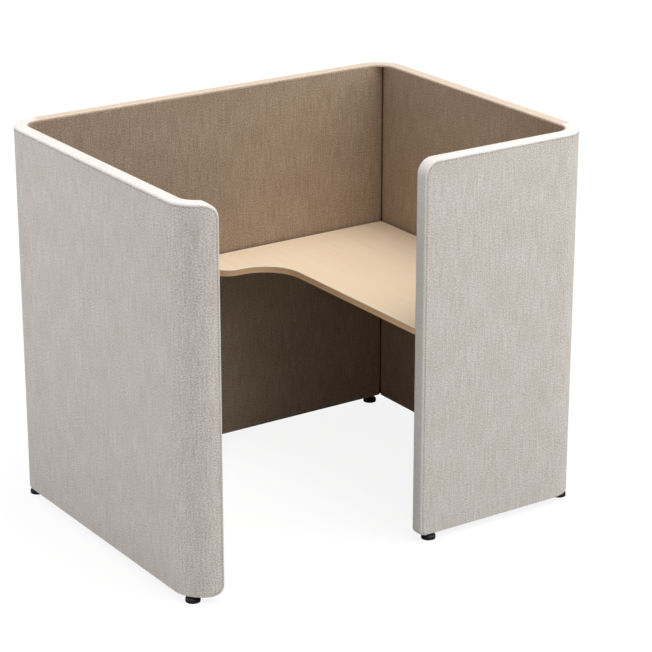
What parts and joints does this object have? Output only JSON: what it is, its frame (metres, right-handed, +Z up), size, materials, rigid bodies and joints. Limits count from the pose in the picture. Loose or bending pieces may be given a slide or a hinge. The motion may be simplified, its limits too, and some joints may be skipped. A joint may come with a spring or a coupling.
{
  "type": "acoustic office pod",
  "caption": "Free-standing acoustic office pod: upholstered screen walls with rounded corners round a built-in desk with a side wing, open at one corner for entry, on levelling feet.",
  "frame": {"origin": "on the floor under the middle of the pod", "axes": "+X along the back wall away from the long free wall, +Y from the entry to the back wall, +Z up"},
  "size_m": [1.6, 1.2, 1.35],
  "materials": {
    "grey_fabric": "heathered pale grey woven upholstery",
    "brown_fabric": "fine brown felted upholstery",
    "sand_fabric": "brown upholstery seen over the rounded top edge, sand coloured",
    "fibre_board": "raw board",
    "bright_steel": "zinc plated",
    "black_steel": "matt black powder coat",
    "oak": "pale oak decor, satin",
    "oak_edge": "matching edge strip, satin",
    "black_plastic": "moulded black"
  },
  "bodies": {
    "pod": {"back_base_rail": "black_steel", "back_border": "sand_fabric", "back_core": "fibre_board", "back_left_lower_link": "bright_steel", "back_left_upper_link": "bright_steel", "back_lining": "brown_fabric", "back_outer_cover": "grey_fabric", "back_right_lower_link": "bright_steel", "back_right_upper_link": "bright_steel", "desk_board": "oak", "desk_edge_band": "oak_edge", "front_base_rail": "black_steel", "front_border": "grey_fabric", "front_bracket": "black_steel", "front_core": "fibre_board", "front_desk_screw_1": "bright_steel", "front_desk_screw_2": "bright_steel", "front_lining": "brown_fabric", "front_outer_cover": "grey_fabric", "front_right_lower_link": "bright_steel", "front_right_upper_link": "bright_steel", "front_wall_screw_1": "bright_steel", "front_wall_screw_2": "bright_steel", "left_base_rail": "black_steel", "left_border": "grey_fabric", "left_core": "fibre_board", "left_lining": "brown_fabric", "left_outer_cover": "grey_fabric", "right_base_rail": "black_steel", "right_border": "sand_fabric", "right_core": "fibre_board", "right_front_bracket": "black_steel", "right_front_desk_screw_1": "bright_steel", "right_front_desk_screw_2": "bright_steel", "right_front_wall_screw_1": "bright_steel", "right_front_wall_screw_2": "bright_steel", "right_lining": "brown_fabric", "right_outer_cover": "grey_fabric", "right_rear_bracket": "black_steel", "right_rear_desk_screw_1": "bright_steel", "right_rear_desk_screw_2": "bright_steel", "right_rear_wall_screw_1": "bright_steel", "right_rear_wall_screw_2": "bright_steel", "wing_bracket": "black_steel", "wing_desk_screw_1": "bright_steel", "wing_desk_screw_2": "bright_steel", "wing_wall_screw_1": "bright_steel", "wing_wall_screw_2": "bright_steel"},
    "back_left_foot": {"back_left_foot_glide": "black_plastic", "back_left_foot_stud": "bright_steel"},
    "front_left_foot": {"front_left_foot_glide": "black_plastic", "front_left_foot_stud": "bright_steel"},
    "back_right_foot": {"back_right_foot_glide": "black_plastic", "back_right_foot_stud": "bright_steel"},
    "front_right_foot": {"front_right_foot_glide": "black_plastic", "front_right_foot_stud": "bright_steel"},
    "entry_foot": {"entry_foot_glide": "black_plastic", "entry_foot_stud": "bright_steel"}
  },
  "joints": [
    {"name": "back_left_foot_height", "type": "slide", "parent": "pod", "child": "back_left_foot", "axis": [0, 0, -1], "range_m": [0, 0.015]},
    {"name": "front_left_foot_height", "type": "slide", "parent": "pod", "child": "front_left_foot", "axis": [0, 0, -1], "range_m": [0, 0.015]},
    {"name": "back_right_foot_height", "type": "slide", "parent": "pod", "child": "back_right_foot", "axis": [0, 0, -1], "range_m": [0, 0.015]},
    {"name": "front_right_foot_height", "type": "slide", "parent": "pod", "child": "front_right_foot", "axis": [0, 0, -1], "range_m": [0, 0.015]},
    {"name": "entry_foot_height", "type": "slide", "parent": "pod", "child": "entry_foot", "axis": [0, 0, -1], "range_m": [0, 0.015]}
  ]
}
